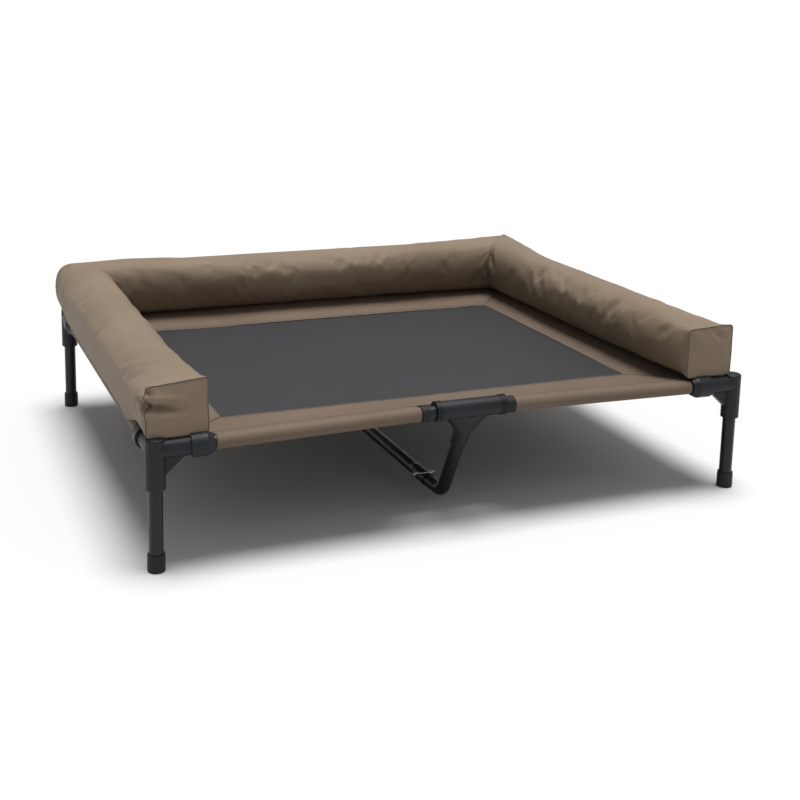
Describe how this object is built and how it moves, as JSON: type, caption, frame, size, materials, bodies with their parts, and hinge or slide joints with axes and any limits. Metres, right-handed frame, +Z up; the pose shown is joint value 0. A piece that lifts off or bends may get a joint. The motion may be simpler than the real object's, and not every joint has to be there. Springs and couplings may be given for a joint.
{
  "type": "raised dog bed",
  "caption": "Raised dog cot with a tube frame, a mesh sling with a fabric border, a centre brace and a three-sided lift-off bolster.",
  "frame": {"origin": "on the floor under the centre of the bed", "axes": "+X along the long sides to the right, +Y to the side with the back bolster, +Z up"},
  "size_m": [1.214, 0.98, 0.3479],
  "materials": {
    "border_fabric": "coated woven fabric, matt",
    "bolster_fabric": "coated woven fabric, matt",
    "mesh": "charcoal woven mesh",
    "tape": "black hook and loop tape",
    "tube_coating": "black powder coat",
    "connector_plastic": "moulded, fine grained",
    "foot_plastic": "moulded, fine grained",
    "ring_rubber": "matt",
    "steel_wire": "zinc plated"
  },
  "bodies": {
    "frame": {"brace_tube_back": "tube_coating", "brace_tube_front": "tube_coating", "corner_back_left": "connector_plastic", "corner_back_right": "connector_plastic", "corner_front_left": "connector_plastic", "corner_front_right": "connector_plastic", "foot_cap_back_left": "foot_plastic", "foot_cap_back_right": "foot_plastic", "foot_cap_front_left": "foot_plastic", "foot_cap_front_right": "foot_plastic", "hook_strips": "tape", "leg_back_left": "tube_coating", "leg_back_right": "tube_coating", "leg_front_left": "tube_coating", "leg_front_right": "tube_coating", "lock_pin": "steel_wire", "long_collar_back_left": "connector_plastic", "long_collar_back_right": "connector_plastic", "long_collar_front_left": "connector_plastic", "long_collar_front_right": "connector_plastic", "long_rail_back_left": "tube_coating", "long_rail_back_right": "tube_coating", "long_rail_front_left": "tube_coating", "long_rail_front_right": "tube_coating", "mesh_panel": "mesh", "rail_ring_back_left": "ring_rubber", "rail_ring_back_right": "ring_rubber", "rail_ring_front_left": "ring_rubber", "rail_ring_front_right": "ring_rubber", "side_collar_back_left": "connector_plastic", "side_collar_back_right": "connector_plastic", "side_collar_front_left": "connector_plastic", "side_collar_front_right": "connector_plastic", "side_rail_left": "tube_coating", "side_rail_right": "tube_coating", "sling_border_back": "border_fabric", "sling_border_front": "border_fabric", "sling_border_left": "border_fabric", "sling_border_right": "border_fabric", "tee_back": "connector_plastic", "tee_front": "connector_plastic"},
    "bail": {"pin_bail": "steel_wire"},
    "bolster_set": {"bolster_back": "bolster_fabric", "bolster_left": "bolster_fabric", "bolster_right": "bolster_fabric", "loop_strips": "tape"}
  },
  "joints": [
    {"name": "bail_hinge", "type": "hinge", "parent": "frame", "child": "bail", "pos_m": [-0.0178, -0.2648, 0.02762], "axis": [0, -0.9397, 0.342], "range_deg": [0, 110]},
    {"name": "bolster_lift", "type": "slide", "parent": "frame", "child": "bolster_set", "axis": [0, 0, 1], "range_m": [0, 0.12]}
  ]
}
